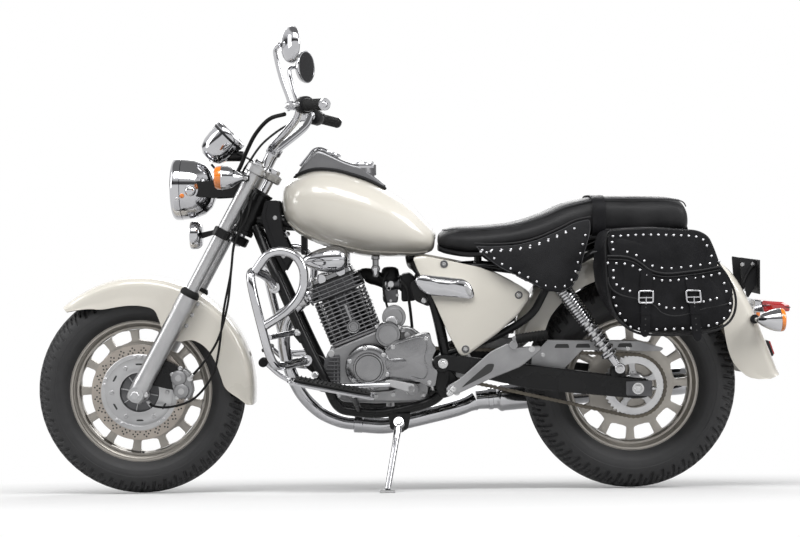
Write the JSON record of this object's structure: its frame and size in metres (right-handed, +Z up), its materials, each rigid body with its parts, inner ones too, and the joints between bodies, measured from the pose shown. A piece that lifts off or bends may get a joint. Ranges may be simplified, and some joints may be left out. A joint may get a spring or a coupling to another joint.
{
  "type": "cruiser motorcycle",
  "caption": "Small cruiser motorcycle parked on its side stand, with cast wheels, leather saddlebags, engine guards, footboards and a steered front end.",
  "frame": {"origin": "on the floor, under the middle of the parked motorcycle's bounding box", "axes": "+X forward along the machine, +Y to its left, +Z up from the floor"},
  "size_m": [2.18, 0.8141, 1.3487],
  "materials": {
    "frame_black": "gloss black paint",
    "black_plastic": "satin black",
    "pearl_paint": "gloss pearl ivory paint",
    "chrome": "bright chrome",
    "satin_alloy": "satin silver",
    "cast_alloy": "fine cast",
    "polished_alloy": "polished",
    "dark_cast": "dark grey cast fins",
    "leather": "black grained leather",
    "rubber": "matt black",
    "tyre": "matt black tread rubber",
    "wheel_alloy": "satin champagne grey",
    "disc_steel": "brushed",
    "chain_steel": "oiled steel",
    "red_lens": "clear red"
  },
  "bodies": {
    "chassis": {"main_frame": "frame_black", "neck_cover": "black_plastic", "swingarm": "frame_black", "rear_shocks": "chrome", "fuel_tank": "pearl_paint", "tank_console": "satin_alloy", "seat": "leather", "seat_skirts": "leather", "side_covers": "pearl_paint", "side_scoops": "chrome", "rear_fender": "pearl_paint", "tail_lamp": "red_lens", "rear_indicators": "chrome", "plate_bracket": "black_plastic", "saddlebags": "leather", "crankcase": "cast_alloy", "cylinder_block": "dark_cast", "cylinder_head": "dark_cast", "engine_covers": "polished_alloy", "carburettor": "black_plastic", "exhaust": "chrome", "engine_guards": "chrome", "horn_cover": "chrome", "footboards": "rubber", "foot_levers": "chrome", "passenger_pegs": "polished_alloy", "chain_guard": "frame_black", "drive_chain": "chain_steel", "rear_brake": "cast_alloy"},
    "steering": {"fork_yokes": "satin_alloy", "fork_tubes": "chrome", "fork_sliders": "satin_alloy", "handlebar": "chrome", "grips": "rubber", "switch_gear": "black_plastic", "mirrors": "chrome", "headlamp": "chrome", "horn": "chrome", "speedometer": "chrome", "front_indicators": "chrome", "front_fender": "pearl_paint", "brake_caliper": "cast_alloy", "control_cables": "rubber"},
    "front_wheel": {"front_tyre": "tyre", "front_rim": "wheel_alloy", "brake_disc": "disc_steel"},
    "rear_wheel": {"rear_tyre": "tyre", "rear_rim": "wheel_alloy", "rear_sprocket": "chain_steel"},
    "stand": {"side_stand": "chrome"},
    "cap": {"fuel_cap": "chrome"}
  },
  "joints": [
    {"name": "steering_head", "type": "hinge", "parent": "chassis", "child": "steering", "pos_m": [0.45342, -0.02884, 0.81617], "axis": [-0.4802, 0.1372, 0.8663], "range_deg": [-38, 38]},
    {"name": "front_wheel_spin", "type": "hinge", "parent": "steering", "child": "front_wheel", "pos_m": [0.788, -0.11076, 0.29896], "axis": [0, 0.9877, -0.1564], "continuous": true},
    {"name": "rear_wheel_spin", "type": "hinge", "parent": "chassis", "child": "rear_wheel", "pos_m": [-0.634, -0.10988, 0.30451], "axis": [0, 0.9877, -0.1564], "continuous": true},
    {"name": "stand_fold", "type": "hinge", "parent": "chassis", "child": "stand", "pos_m": [0.041, 0.01422, 0.1931], "axis": [0.112, 0.928, 0.3554], "range_deg": [0, 100]},
    {"name": "cap_lid", "type": "hinge", "parent": "chassis", "child": "cap", "pos_m": [0.109, -0.00845, 0.94491], "axis": [0, -0.9877, 0.1564], "range_deg": [0, 95]}
  ]
}
